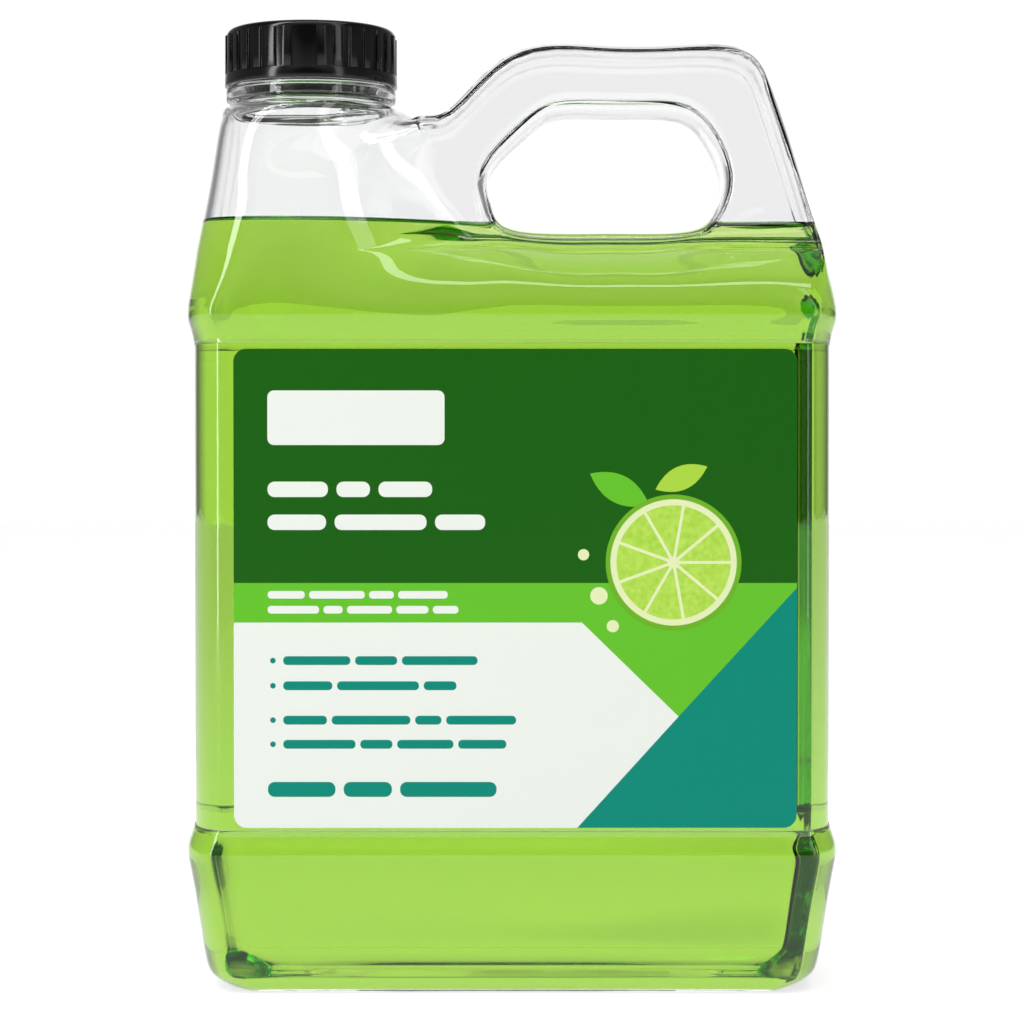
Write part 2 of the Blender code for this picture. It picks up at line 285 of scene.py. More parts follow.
# %% Shoulder rows between body and neck: x, half depth, height
SHOULDER_LOW = (
    (-62.8, 0.0, 147.0), (-62.8, 12.0, 147.0), (-60.5, 21.0, 147.0), (-56.2, 25.1, 147.0),
    (-51.0, 26.4, 147.0), (-45.0, 26.6, 147.0), (-37.5, 26.0, 147.0), (-29.8, 24.2, 147.2),
    (-22.6, 21.2, 147.6), (-17.0, 18.2, 148.0), (-12.4, 15.6, 148.3), (-8.4, 13.6, 148.4),
)
SHOULDER_MIDDLE = (
    (-61.5, 0.0, 155.2), (-61.3, 10.8, 155.2), (-59.2, 18.4, 155.2), (-55.2, 22.1, 155.2),
    (-50.0, 23.7, 155.3), (-44.0, 23.9, 155.4), (-37.2, 23.0, 155.8), (-30.4, 20.6, 156.6),
    (-24.0, 17.2, 157.6), (-18.8, 14.6, 157.6), (-15.0, 13.1, 157.2), (-11.4, 12.6, 156.5),
)
SHOULDER_HIGH = (
    (-60.4, 0.0, 163.0), (-60.1, 9.4, 163.0), (-58.0, 16.2, 163.1), (-54.0, 19.8, 163.3),
    (-48.6, 20.9, 163.5), (-42.8, 21.0, 163.9), (-36.8, 19.4, 165.0), (-31.0, 16.4, 167.4),
    (-26.2, 13.0, 170.2), (-21.2, 12.6, 169.0), (-16.9, 12.5, 166.8), (-12.6, 12.5, 164.2),
)
SHOULDER_TOP = (
    (-58.9, 0.0, 173.4), (-58.5, 7.2, 173.4), (-56.4, 12.8, 173.4), (-52.6, 16.6, 173.4),
    (-47.7, 18.3, 173.4), (-42.2, 18.4, 173.4), (-35.4, 16.4, 173.6), (-28.4, 11.2, 174.0),
)
SHOULDER_EASE = 2.2
NECK_SIDE_EASE = 1.3
SHOULDER_STEPS = (0.33, 0.64, 0.85)

# %% Outlines of the finger hole and of the handle's outer side: x, height
HOLE = (
    (-1.2, 151.2), (9.0, 150.0), (18.0, 150.0), (27.5, 150.0), (37.4, 151.0),
    (41.4, 155.8), (42.4, 162.0), (39.6, 169.2), (35.0, 173.8), (27.0, 174.7),
    (18.0, 174.7), (8.6, 174.4), (3.0, 170.8), (-2.4, 165.8), (-5.1, 160.8), (-4.2, 155.8),
)
HOLE_LOWER_RIGHT = 4
HOLE_HIGH_LEFT = 13
HANDLE_OUTLINE = (
    (-18.6, 173.7), (-12.4, 175.0), (-0.2, 186.3), (17.0, 187.7), (31.0, 187.7),
    (46.2, 187.1), (52.2, 179.2), (55.8, 169.0), (58.8, 159.0), (61.8, 149.3),
)
NECK_COLUMNS = 8


def outline_inward(points, index, closed):
    count = len(points)
    before = points[(index - 1) % count] if closed or index else points[index]
    after = points[(index + 1) % count] if closed or index < count - 1 else points[index]
    along = Vector((after[0] - before[0], after[1] - before[1])).normalized()
    return Vector((along.y, -along.x))


def spokes(points, closed):
    """At each outline point, the rounded edge from the middle plane to the flat face."""
    made = []
    for index, (x, height) in enumerate(points):
        inward = outline_inward(points, index, closed)
        made.append([
            (x + inward.x * inset, depth, height + inward.y * inset) for inset, depth in EDGE_STEPS
        ])
    return made


def neck_ring(radius, height):
    turns = [math.pi * column / NECK_COLUMNS for column in range(NECK_COLUMNS + 1)]
    return [(NECK_X - radius * math.cos(t), radius * math.sin(t), height) for t in turns]


print("hole points", len(HOLE), "handle points", len(HANDLE_OUTLINE))

# %% Rows of the cage, and the quads between them


class Cage:
    """A bmesh that makes each point once, however many rows share it."""

    def __init__(self):
        self.bm = bmesh.new()
        self.made = {}

    def vertex(self, point):
        key = tuple(round(value, 4) for value in point)
        if key not in self.made:
            x, depth, height = key
            self.made[key] = self.bm.verts.new((x * MM, -depth * MM, height * MM))
        return self.made[key]

    def loft(self, rows):
        for low, high in zip(rows, rows[1:]):
            for column in range(len(low) - 1):
                ring = [low[column], low[column + 1], high[column + 1], high[column]]
                corners = dict.fromkeys(self.vertex(point) for point in ring)
                self.bm.faces.new(list(corners))


def shoulder_ease(column):
    share = min(1.0, max(0.0, (column - NECK_COLUMNS + 1) / 5))
    return NECK_SIDE_EASE + (SHOULDER_EASE - NECK_SIDE_EASE) * share


def shoulder_steps(bulge, low):
    """Rows that fall from the bulge to the shoulder, evenly by the neck and late by the handle."""
    rows = []
    for step in SHOULDER_STEPS:
        row = []
        for column, (below, above) in enumerate(zip(bulge, low)):
            x, depth, height = (b + (a - b) * step for b, a in zip(below, above))
            depth = below[1] + (above[1] - below[1]) * step ** shoulder_ease(column)
            row.append((x, depth, height))
        rows.append(row)
    return rows


def bottle_cage(neck_profile):
    cage = Cage()
    hole = spokes(HOLE, True)
    handle = spokes(HANDLE_OUTLINE, False)
    under_hole = [spoke[3] for spoke in hole[: HOLE_LOWER_RIGHT + 1]]
    low = list(SHOULDER_LOW) + under_hole + handle[-1][::-1]
    bulge = body_section(*SECTIONS[-1])
    sections = [body_section(*section) for section in SECTIONS]
    cage.loft([base_line()] + sections + shoulder_steps(bulge, low) + [low])

    top = list(SHOULDER_TOP) + handle[0] + [hole[HOLE_HIGH_LEFT][3]]
    middle = list(SHOULDER_MIDDLE) + [hole[-1][3]]
    high = list(SHOULDER_HIGH) + [hole[-2][3]]
    cage.loft([low[: len(middle)], middle, high, top])

    facing = hole[HOLE_LOWER_RIGHT : HOLE_HIGH_LEFT + 1][::-1]
    cage.loft([outer + [inner[3]] for outer, inner in zip(handle, facing)])
    cage.loft(hole + hole[:1])
    cage.loft([top[: NECK_COLUMNS + 1]] + [neck_ring(*ring) for ring in neck_profile])
    return cage.bm


# %% [markdown]
# ## From cage to surface
#
# A Subdivision Surface pulls in from its cage, more at tight corners. To keep the bottle's real
# size, the cage is swollen a little first: each point moves out by as much as the smooth surface
# misses it, a few times over. Only then is the surface subdivided for good.

# %% Skins: cage, fitted and subdivided
FIT_ROUNDS = 4


def smooth_positions(obj):
    """Where the smooth surface puts each point of the cage."""
    probe = obj.modifiers.new("probe", "SUBSURF")
    probe.levels = 1
    probe.render_levels = 1
    evaluated = obj.evaluated_get(bpy.context.evaluated_depsgraph_get())
    places = [evaluated.data.vertices[i].co.copy() for i in range(len(obj.data.vertices))]
    obj.modifiers.remove(probe)
    return places


def fit_cage(obj):
    wanted = [vertex.co.copy() for vertex in obj.data.vertices]
    for _ in range(FIT_ROUNDS):
        reached = smooth_positions(obj)
        for vertex, target, place in zip(obj.data.vertices, wanted, reached):
            vertex.co += (target - place) * 0.9
        obj.data.update()
    miss = max((a - b).length for a, b in zip(wanted, smooth_positions(obj)))
    print(obj.name, "largest miss", round(miss / MM, 3), "mm")


def skin(name, neck_profile, inset, levels):
    bm = bottle_cage(neck_profile)
    geometry = bm.verts[:] + bm.edges[:] + bm.faces[:]
    bmesh.ops.mirror(bm, geom=geometry, matrix=Matrix(), merge_dist=1e-6, axis="Y")
    bmesh.ops.recalc_face_normals(bm, faces=bm.faces[:])
    inner = [v.co - v.normal * v.calc_shell_factor() * inset * MM for v in bm.verts]
    for vertex, place in zip(bm.verts, inner):
        vertex.co = place
    mesh = bpy.data.meshes.new(name)
    bm.to_mesh(mesh)
    bm.free()
    obj = bpy.data.objects.new(name, mesh)
    bpy.context.scene.collection.objects.link(obj)
    fit_cage(obj)
    subdivide = obj.modifiers.new("smooth", "SUBSURF")
    subdivide.levels = levels
    subdivide.render_levels = levels
    apply_all(obj)
    for vertex in obj.data.vertices:
        vertex.co.z = max(vertex.co.z, inset * MM)
    return obj


OUTER_NECK = (
    (LEDGE_RADIUS, LEDGE_HEIGHT),
    (NECK_RADIUS + 0.6, LEDGE_HEIGHT + 0.45),
    (NECK_RADIUS, LEDGE_HEIGHT + 0.75),
    (NECK_RADIUS, BEAD_BOTTOM - 0.2),
    (BEAD_RADIUS - 0.4, BEAD_BOTTOM + 0.05),
    (BEAD_RADIUS, BEAD_BOTTOM + 0.7),
    (BEAD_RADIUS, BEAD_TOP - 0.7),
    (BEAD_RADIUS - 0.4, BEAD_TOP - 0.05),
    (NECK_RADIUS, BEAD_TOP + 0.3),
    (NECK_RADIUS, MOUTH_HEIGHT - 0.5),
    (NECK_RADIUS, MOUTH_HEIGHT),
)
INNER_NECK = (
    (LEDGE_RADIUS, LEDGE_HEIGHT),
    (NECK_RADIUS + 0.6, LEDGE_HEIGHT + 0.45),
    (NECK_RADIUS, LEDGE_HEIGHT + 0.75),
    (NECK_RADIUS, MOUTH_HEIGHT - 0.5),
    (NECK_RADIUS, MOUTH_HEIGHT),
)

outer_skin = skin("bottle_skin", OUTER_NECK, 0.0, 3)
inner_skin = skin("bottle_inside", INNER_NECK, WALL, 2)
print("outer", triangles(outer_skin), "inner", triangles(inner_skin))

# %% [markdown]
# ## The clear plastic
#
# PET is clear, with a refractive index of 1.55 to 1.58. A blown wall is never of quite even
# thickness, which makes slow waves in what is seen through it. A low, broad relief gives these
# waves without any change to the shape. Where the soap wets the wall, the border between the two
# reflects almost nothing, because their indices are close, so the wetted part of the inside has
# the same plastic with its mirror reflection tinted black.

# %% Clear plastic, dry and wetted
PLASTIC_INDEX = 1.55
PLASTIC_ROUGHNESS = 0.015
WALL_WAVES = 38.0
WALL_WAVE_DEPTH = 0.00022
BLACK = (0.0, 0.0, 0.0, 1.0)
WHITE = (1.0, 1.0, 1.0, 1.0)


def clear_plastic(name, tint):
    made = principled(
        name, (0.985, 0.985, 0.99), PLASTIC_ROUGHNESS,
        IOR=PLASTIC_INDEX, Transmission_Weight=1.0, Specular_Tint=tint
    )
    waves = object_noise(made, WALL_WAVES, 1.0, (1.0, 1.0, 0.35))
    relief(made, waves, WALL_WAVE_DEPTH, 0.6)
    return made


dry_plastic = clear_plastic("clear_plastic", WHITE)
wetted_plastic = clear_plastic("wetted_plastic", BLACK)
for part in (outer_skin, inner_skin):
    part.data.materials.append(dry_plastic)
inner_skin.data.materials.append(wetted_plastic)
for polygon in inner_skin.data.polygons:
    polygon.material_index = int(polygon.center.z < FILL_HEIGHT * MM)
print("plastics", dry_plastic.name, wetted_plastic.name)

# %% [markdown]
# ## The blown wall
#
# The wall is the outer skin and the inner skin, turned to face the air inside, with a flat rim
# between them at the mouth. The two are joined and their open edges bridged, which closes the
# solid without any cut.

# %% Join the skins and close the rim
inner_skin.data.flip_normals()
bottle = join([outer_skin, inner_skin], "bottle_shell")
make_active(bottle)
bpy.ops.object.mode_set(mode="EDIT")
bpy.ops.mesh.select_mode(type="EDGE")
bpy.ops.mesh.select_all(action="DESELECT")
bpy.ops.mesh.select_non_manifold()
bpy.ops.mesh.bridge_edge_loops()
bpy.ops.object.mode_set(mode="OBJECT")
print("bottle", triangles(bottle), "triangles")

# %% [markdown]
# ## The neck's thread
#
# A ridge climbs the neck for almost one and a half turns, and holds the cap. A Screw modifier
# turns a small four-sided profile about the neck's axis and lifts it at each step. Its ends fade
# into the neck, as a moulded thread does, so that a cap can be started on it.

# %% Thread ridges
THREAD_PITCH = 4.2333
THREAD_STEPS_IN_TURN = 72
THREAD_FADE = 0.12


def thread_ridge(name, start, root, crest, half_width, turns):
    """A ridge from the start height up; root and crest are radii in millimetres."""
    bpy.ops.mesh.primitive_plane_add(size=1.0, location=(NECK_X * MM, 0, 0))
    ridge = bpy.context.object
    ridge.name = name
    for vertex in ridge.data.vertices:
        at_crest = vertex.co.x > 0
        width = half_width * (0.35 if at_crest else 1.0)
        height = width if vertex.co.y > 0 else -width
        vertex.co = ((crest if at_crest else root) * MM, 0.0, (start + height) * MM)
    select_in_edit(ridge, "FACE", lambda centre, normal: True)
    bpy.ops.mesh.delete(type="ONLY_FACE")
    leave_edit()
    screw = ridge.modifiers.new("climb", "SCREW")
    screw.steps = int(THREAD_STEPS_IN_TURN * turns)
    screw.render_steps = screw.steps
    screw.angle = math.tau * turns
    screw.screw_offset = THREAD_PITCH * turns * MM
    screw.use_merge_vertices = False
    apply_all(ridge)
    fade_thread(ridge, root, turns)
    make_active(ridge)
    bpy.ops.object.mode_set(mode="EDIT")
    bpy.ops.mesh.select_mode(type="EDGE")
    bpy.ops.mesh.select_all(action="DESELECT")
    bpy.ops.mesh.select_non_manifold()
    bpy.ops.mesh.fill()
    bpy.ops.mesh.select_all(action="SELECT")
    bpy.ops.mesh.normals_make_consistent(inside=False)
    leave_edit()
    settle(ridge)
    return ridge


def fade_thread(ridge, root, turns):
    """Draws the ridge's crest back to its root over the first and last part of its run."""
    rows = int(THREAD_STEPS_IN_TURN * turns) + 1
    count = len(ridge.data.vertices) // rows
    for index, vertex in enumerate(ridge.data.vertices):
        along = (index // count) / (rows - 1) if count == 4 else 0.5
        fade = min(1.0, along / THREAD_FADE, (1.0 - along) / THREAD_FADE)
        radius = math.hypot(vertex.co.x, vertex.co.y)
        wanted = root * MM + (radius - root * MM) * max(0.05, fade)
        vertex.co.x *= wanted / radius
        vertex.co.y *= wanted / radius


neck_thread = thread_ridge(
    "neck_thread", start=181.9, root=NECK_RADIUS - 0.15, crest=16.0, half_width=0.95, turns=1.4
)
neck_thread.data.materials.append(dry_plastic)
bottle = join([bottle, neck_thread], "bottle_shell")
smooth(bottle, 50)
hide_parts("bottle")
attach(bottle, "filled_bottle")
print("bottle with thread", triangles(bottle), "triangles")

# %% [markdown]
# ## The soap
#
# The liquid takes the shape of the bottle's inside, up to a level surface, and it stands on both
# sides of the finger hole. It is a third skin from the same cage, cut level. It wets the wall:
# its own skin lies a little way into the plastic, so that no film of air is left between them,
# because such a film would turn the edges silver. At the wall the surface climbs a little, which
# is the meniscus.

# %% The liquid's body, cut level, with its meniscus
WET_DEPTH = 0.4
MENISCUS_STEPS = ((0.35, 0.6), (0.6, 0.35))
MENISCUS_RISE = sum(drop for _, drop in MENISCUS_STEPS)

soap = skin("soap_body", INNER_NECK, WALL - WET_DEPTH, 2)
make_active(soap)
bpy.ops.object.mode_set(mode="EDIT")
bpy.ops.mesh.select_all(action="SELECT")
bpy.ops.mesh.bisect(
    plane_co=(0, 0, FILL_HEIGHT * MM), plane_no=(0, 0, 1), use_fill=True, clear_outer=True
)
leave_edit()
select_in_edit(
    soap, "FACE", lambda centre, normal: centre.z > (FILL_HEIGHT - 0.01) * MM and normal.z > 0.99
)
for step_width, drop in MENISCUS_STEPS:
    bpy.ops.mesh.inset(thickness=step_width * MM, depth=-drop * MM)
leave_edit()
smooth(soap, 40)
print("soap", triangles(soap), "triangles")

# %% [markdown]
# ## The liquid's colour
#
# A clear liquid has no colour on its skin: light loses its red and blue on the way through, so a
# thin layer is pale and a thick one is deep. Volume absorption does just that. Its colour and
# density are plain values on the node's own sockets. Only the level surface mirrors the room,
# while the sides wet the plastic, so the mirror's tint turns from black to white at the top. It
# stays one material, because light must leave the liquid by the material that it came in by.

# %% Liquid soap
LIQUID_COLOUR = (0.67, 0.88, 0.02, 1.0)
LIQUID_DENSITY = 54.0
LIQUID_INDEX = 1.36
SURFACE_DEPTH = MENISCUS_RISE + 0.1


def liquid_soap():
    made = principled(
        "liquid_soap", (1.0, 1.0, 1.0), 0.0, IOR=LIQUID_INDEX, Transmission_Weight=1.0
    )
    links = made.node_tree.links
    absorb = add_node(made, "ShaderNodeVolumeAbsorption")
    absorb.inputs["Color"].default_value = LIQUID_COLOUR
    absorb.inputs["Density"].default_value = LIQUID_DENSITY
    output = made.node_tree.nodes["Material Output"]
    links.new(absorb.outputs["Volume"], output.inputs["Volume"])
    place = add_node(made, "ShaderNodeTexCoord")
    axes = add_node(made, "ShaderNodeSeparateXYZ")
    at_surface = add_node(made, "ShaderNodeMath", operation="GREATER_THAN")
    at_surface.inputs[1].default_value = (FILL_HEIGHT - SURFACE_DEPTH) * MM
    links.new(place.outputs["Object"], axes.inputs["Vector"])
    links.new(axes.outputs["Z"], at_surface.inputs[0])
    shader = made.node_tree.nodes["Principled BSDF"]
    links.new(at_surface.outputs["Value"], shader.inputs["Specular Tint"])
    return made


soap.data.materials.clear()
soap.data.materials.append(liquid_soap())
print("liquid", soap.data.materials[0].name)
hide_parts("soap")
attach(soap, "filled_bottle")

# %% [markdown]
# ## The printed films
#
# Each label is a thin film with rounded corners on the flat panel. The print is fields of flat
# ink. The film starts as a cube, gets its round corners from a bevel, and is cut along the
# fields' straight borders with bisect, so that each face belongs to one ink.

# %% Inks
INK_COLOURS = {
    "dark_green": (0.009, 0.118, 0.004),
    "bright_green": (0.135, 0.555, 0.026),
    "white": (0.86, 0.90, 0.84),
    "teal": (0.0, 0.262, 0.190),
    "lime": (0.42, 0.70, 0.06),
    "pith": (0.80, 0.88, 0.50),
}


def ink(name):
    made = principled("ink_" + name, INK_COLOURS[name], 0.3, Specular_IOR_Level=0.15)
    fibres = object_noise(made, 420.0, 3.0, (1.0, 1.0, 0.25))
    vary_roughness(made, fibres, 0.26, 0.40)
    relief(made, object_noise(made, 60.0, 2.0), 0.00012, 0.25)
    return made


INKS = {name: ink(name) for name in INK_COLOURS}
print("inks", sorted(INKS))

# %% Film blanks
FILM_CORNER = 2.5


def film_blank(name, node):
    low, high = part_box(node)
    size = [high[axis] - low[axis] for axis in range(3)]
    centre = [(high[axis] + low[axis]) / 2 for axis in range(3)]
    bpy.ops.mesh.primitive_cube_add(size=1.0, location=centre, scale=size)
    film = bpy.context.object
    film.name = name
    settle(film)
    select_in_edit(
        film, "EDGE", lambda centre, along: abs(along.y) > 0.5 * along.length and along.length > 0
    )
    bpy.ops.mesh.bevel(offset=FILM_CORNER * MM, segments=8, affect="EDGES")
    leave_edit()
    return film


def cut_film(film, start, end):
    """Cuts the film along the line through two points, given as x and height in millimetres."""
    along = Vector((end[0] - start[0], 0.0, end[1] - start[1]))
    across = Vector((-along.z, 0.0, along.x)).normalized()
    make_active(film)
    bpy.ops.object.mode_set(mode="EDIT")
    bpy.ops.mesh.select_all(action="SELECT")
    bpy.ops.mesh.bisect(plane_co=(start[0] * MM, 0.0, start[1] * MM), plane_no=across)
    leave_edit()


def ink_faces(film, choose):
    """Gives each face the ink that its centre's place calls for, and the glued side white."""
    film.data.materials.clear()
    names = []
    for polygon in film.data.polygons:
        glued = polygon.normal.y * polygon.center.y < -1e-3
        name = "white" if glued else choose(polygon.center.x / MM, polygon.center.z / MM)
        if name not in names:
            names.append(name)
            film.data.materials.append(INKS[name])
        polygon.material_index = names.index(name)


front_film = film_blank("front_film", "front_label")
FILM_LOW, FILM_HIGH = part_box("front_label")
FILM_LEFT = FILM_LOW[0] / MM
FILM_RIGHT = FILM_HIGH[0] / MM
FILM_BOTTOM = FILM_LOW[2] / MM
FILM_TOP = FILM_HIGH[2] / MM
print("film", round(FILM_RIGHT - FILM_LEFT, 2), "x", round(FILM_TOP - FILM_BOTTOM, 2), "mm")

# %% [markdown]
# ## The front print's fields
#
# Dark green fills the upper half. Below it runs a bright green band that widens into a wedge on
# the right. A white field with an arrow-shaped end takes the lower left, and teal the lower right.

# %% Cut and ink the front film
BAND_TOP = FILM_TOP - 45.5
BAND_BOTTOM = BAND_TOP - 7.7
BAND_END = FILM_LEFT + 67.7
ARROW_TIP = (FILM_LEFT + 86.5, BAND_BOTTOM - 18.3)
ARROW_FOOT = (FILM_LEFT + 66.8, FILM_BOTTOM)
WEDGE_END = (FILM_RIGHT, BAND_TOP - 0.9)


def left_of(point, start, end):
    """True when a point lies to the left of the line that climbs from start to end."""
    return (end[0] - start[0]) * (point[1] - start[1]) > (end[1] - start[1]) * (point[0] - start[0])


def front_ink(x, height):
    point = (x, height)
    if height > BAND_TOP:
        return "dark_green"
    upper_left = left_of(point, ARROW_TIP, (BAND_END, BAND_BOTTOM))
    lower_left = left_of(point, ARROW_FOOT, ARROW_TIP)
    if height < BAND_BOTTOM and upper_left and lower_left:
        return "white"
    under_wedge = not left_of(point, ARROW_TIP, WEDGE_END)
    return "teal" if under_wedge and not lower_left else "bright_green"


cut_film(front_film, (0.0, BAND_TOP), (1.0, BAND_TOP))
cut_film(front_film, (0.0, BAND_BOTTOM), (1.0, BAND_BOTTOM))
cut_film(front_film, ARROW_TIP, (BAND_END, BAND_BOTTOM))
cut_film(front_film, ARROW_FOOT, ARROW_TIP)
cut_film(front_film, ARROW_TIP, WEDGE_END)
ink_faces(front_film, front_ink)
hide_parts("front_label")
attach(front_film, "filled_bottle")
print("front film faces", len(front_film.data.polygons))

# %% [markdown]
# ## Marks in place of the words
#
# The pack carries no wording. Where lines of text would stand, rounded dashes of word length keep
# the print's rhythm and weight, as a layout artist blocks in copy before it is written. A blank
# plate fills the badge's place.

# %% Rounded marks and rows of them
INK_THICKNESS = 0.02
FRONT = -1
BACK = 1


def mark(side, left, right, low, high, colour, roundness=0.45):
    """A thin rounded bar of ink on the film at the front or the back."""
    face = FILM_LOW[1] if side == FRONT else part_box("back_label")[1][1]
    depth = face + side * INK_THICKNESS / 2 * MM
    size = ((right - left) * MM, INK_THICKNESS * MM, (high - low) * MM)
    centre = ((left + right) / 2 * MM, depth, (low + high) / 2 * MM)
    bpy.ops.mesh.primitive_cube_add(size=1.0, location=centre, scale=size)
    bar = bpy.context.object
    settle(bar)
    select_in_edit(bar, "EDGE", lambda centre, along: abs(along.y) > 0.9 * along.length)
    width = roundness * min(right - left, high - low) * MM
    bpy.ops.mesh.bevel(offset=width, segments=5, affect="EDGES")
    leave_edit()
    bar.data.materials.append(INKS[colour])
    return bar


def row_of_marks(side, left, right, middle, height, words, colour):
    """Marks of unlike lengths, with even spaces, that fill a line from left to right."""
    space = height * 0.55
    room = (right - left) - space * (len(words) - 1)
    made = []
    start = left
    for word in words:
        end = start + room * word / sum(words)
        made.append(mark(side, start, end, middle - height / 2, middle + height / 2, colour))
        start = end + space
    return made


# %% The front film's marks
TEXT_LEFT = FILM_LEFT + 6.6
marks = [
    mark(FRONT, TEXT_LEFT, TEXT_LEFT + 34.4, FILM_TOP - 18.7, FILM_TOP - 8.1, "white", roundness=0.12),
]
marks += row_of_marks(FRONT, TEXT_LEFT, TEXT_LEFT + 32.0, FILM_TOP - 27.3, 3.0, (9, 5, 8), "white")
marks += row_of_marks(FRONT, TEXT_LEFT, TEXT_LEFT + 42.3, FILM_TOP - 33.7, 3.0, (7, 11, 6), "white")
marks += row_of_marks(FRONT, TEXT_LEFT, TEXT_LEFT + 35.0, BAND_TOP - 2.3, 1.5, (6, 9, 4, 8), "white")
marks += row_of_marks(
    FRONT, TEXT_LEFT, TEXT_LEFT + 37.1, BAND_TOP - 5.2, 1.5, (8, 3, 7, 5, 4), "white"
)
LIST_ROWS = (
    (60.6, 47.4, (8, 5, 9)),
    (65.5, 43.3, (6, 10, 4)),
    (72.2, 54.9, (5, 9, 3, 8)),
    (76.9, 53.0, (9, 4, 7, 6)),
)
DOT_RADIUS = 0.55
for drop, end, words in LIST_ROWS:
    middle = FILM_TOP - drop
    dot = FILM_LEFT + 7.6
    marks.append(mark(
        FRONT, dot - DOT_RADIUS, dot + DOT_RADIUS, middle - DOT_RADIUS, middle + DOT_RADIUS,
        "teal", roundness=0.5
    ))
    marks += row_of_marks(FRONT, FILM_LEFT + 9.6, FILM_LEFT + end, middle, 1.7, words, "teal")
marks += row_of_marks(
    FRONT, TEXT_LEFT, FILM_LEFT + 51.1, FILM_BOTTOM + 7.5, 2.9, (7, 5, 10), "teal"
)
print("marks", len(marks))

# %% [markdown]
# ## A plain citrus slice
#
# The film shows fruit on its right. Here it is one round slice with even segments, two leaves and
# three drops: motifs that any grocer's label might use. The slice is a disc of ink whose rind,
# pith and segments come from the distance and the angle about its centre.

# %% The slice's ink
SLICE_X = FILM_LEFT + 85.5
SLICE_HEIGHT = FILM_TOP - 41.5
SLICE_RADIUS = 13.2
SEGMENTS = 9


def math_node(made, operation, first, second=None):
    node = add_node(made, "ShaderNodeMath", operation=operation)
    for index, value in enumerate((first, second)):
        if value is None:
            continue
        if isinstance(value, (int, float)):
            node.inputs[index].default_value = value
        else:
            made.node_tree.links.new(value, node.inputs[index])
    return node.outputs["Value"]


def mix_colour(made, factor, low, high):
    node = add_node(made, "ShaderNodeMix", data_type="RGBA")
    links = made.node_tree.links
    links.new(factor, node.inputs["Factor"])
    for socket, value in (("A", low), ("B", high)):
        target = [i for i in node.inputs if i.name == socket and i.type == "RGBA"][0]
        if isinstance(value, tuple):
            target.default_value = (*value, 1.0)
        else:
            links.new(value, target)
    return [o for o in node.outputs if o.type == "RGBA"][0]


def slice_ink():
    made = ink("lime")
    made.name = "ink_slice"
    links = made.node_tree.links
    place = add_node(made, "ShaderNodeTexCoord")
    centre = add_node(made, "ShaderNodeMapping")
    centre.inputs["Location"].default_value = (-SLICE_X * MM, 0.0, -SLICE_HEIGHT * MM)
    links.new(place.outputs["Object"], centre.inputs["Vector"])
    axes = add_node(made, "ShaderNodeSeparateXYZ")
    links.new(centre.outputs["Vector"], axes.inputs["Vector"])
    x, height = axes.outputs["X"], axes.outputs["Z"]
    squares = math_node(
        made, "ADD", math_node(made, "MULTIPLY", x, x), math_node(made, "MULTIPLY", height, height)
    )
    radius = math_node(made, "DIVIDE", math_node(made, "SQRT", squares), SLICE_RADIUS * MM)
    turn = math_node(made, "ARCTAN2", height, x)
    part = math_node(made, "FRACT", math_node(made, "MULTIPLY", turn, SEGMENTS / math.tau))
    from_edge = math_node(made, "SUBTRACT", 0.5, math_node(
        made, "ABSOLUTE", math_node(made, "SUBTRACT", part, 0.5)
    ))
    arc = math_node(made, "MULTIPLY", math_node(made, "MULTIPLY", from_edge, radius), math.tau / SEGMENTS)
    inside = math_node(made, "MULTIPLY", math_node(made, "GREATER_THAN", arc, 0.022), math_node(
        made, "MULTIPLY", math_node(made, "LESS_THAN", radius, 0.84),
        math_node(made, "GREATER_THAN", radius, 0.09)
    ))
    cells = object_noise(made, 900.0, 2.0)
    flesh = mix_colour(made, cells, (0.30, 0.62, 0.02), (0.62, 0.86, 0.16))
    rind = mix_colour(made, math_node(made, "GREATER_THAN", radius, 0.93), INK_COLOURS["pith"],
                      (0.16, 0.46, 0.02))
    colour = mix_colour(made, inside, rind, flesh)
    links.new(colour, made.node_tree.nodes["Principled BSDF"].inputs["Base Color"])
    return made


SLICE_INK = slice_ink()
print("slice ink", SLICE_INK.name)

# %% The slice, its leaves and drops


def disc(x, height, radius, material, layer, points):
    """A round plate of ink on the front film."""
    depth = FILM_LOW[1] - (layer - 0.5) * INK_THICKNESS * MM
    bpy.ops.mesh.primitive_cylinder_add(
        vertices=points, radius=radius * MM, depth=INK_THICKNESS * MM,
        location=(x * MM, depth, height * MM), rotation=(math.pi / 2, 0.0, 0.0)
    )
    plate = bpy.context.object
    settle(plate)
    plate.data.materials.append(material)
    return plate


def leaf(x, height, length, turn, material, layer):
    """A pointed oval: the ends of a disc are drawn out along its length."""
    depth = FILM_LOW[1] - (layer - 0.5) * INK_THICKNESS * MM
    bpy.ops.mesh.primitive_cylinder_add(
        vertices=48, radius=length / 2 * MM, depth=INK_THICKNESS * MM, location=(0, 0, 0),
        rotation=(math.pi / 2, 0.0, 0.0)
    )
    blade = bpy.context.object
    settle(blade)
    half = length / 2 * MM
    for vertex in blade.data.vertices:
        along = vertex.co.x / half
        side = 1.0 if vertex.co.z >= 0 else -1.0
        vertex.co.z = side * half * 0.42 * (1.0 - along * along)
    blade.data.transform(Matrix.Rotation(turn, 4, "Y"))
    blade.data.transform(Matrix.Translation((x * MM, depth, height * MM)))
    blade.data.materials.append(material)
    return blade


